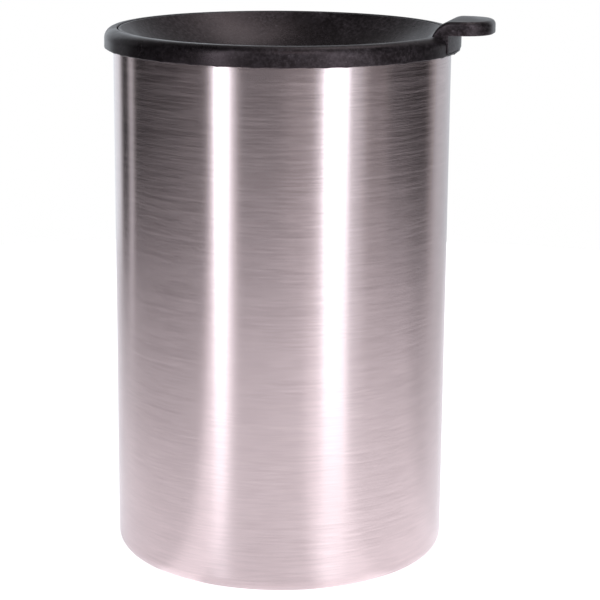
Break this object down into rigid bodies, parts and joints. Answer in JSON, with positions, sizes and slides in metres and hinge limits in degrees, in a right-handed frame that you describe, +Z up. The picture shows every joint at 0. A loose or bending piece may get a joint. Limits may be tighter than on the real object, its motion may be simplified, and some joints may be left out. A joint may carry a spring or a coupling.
{
  "type": "liquid nitrogen dewar",
  "caption": "Small wide-mouth double-walled steel dewar flask with a black collar and a loose dished lid with a thumb tab.",
  "frame": {"origin": "centre of the base pad's underside, where the flask stands", "axes": "+Z up along the can's axis, +X towards the lid's thumb tab"},
  "size_m": [0.1275, 0.1158, 0.1799],
  "materials": {
    "brushed_steel": "fine brushing round the can",
    "plain_steel": "plain drawn stainless sheet",
    "black_moulding": "matte, lightly scuffed",
    "base_rubber": "matte anti-slip",
    "copper": "drawn copper",
    "foil": "bright crinkled foil",
    "glass_fibre": "glass-fibre rod",
    "getter_steel": "pressed sheet",
    "sieve": "packed molecular sieve beads",
    "foam": "rigid closed-cell foam",
    "white_moulding": "thin moulded cup",
    "screw_steel": "turned stainless"
  },
  "bodies": {
    "flask": {"base_pad": "base_rubber", "outer_shell": "brushed_steel", "base_plate": "plain_steel", "pinch_off_tube": "copper", "pinch_off_cap": "plain_steel", "inner_vessel": "plain_steel", "mouth_ring": "plain_steel", "foil_wrap": "foil", "foil_disc": "foil", "bottom_spacers": "glass_fibre", "getter_cup": "getter_steel", "getter_charge": "sieve", "collar": "black_moulding"},
    "lid": {"lid_pan": "black_moulding", "foam_plug": "foam", "plug_cup": "white_moulding", "plug_screws": "screw_steel"}
  },
  "joints": [
    {"name": "lid_lift", "type": "slide", "parent": "flask", "child": "lid", "axis": [0, 0, 1], "range_m": [0, 0.055]}
  ]
}
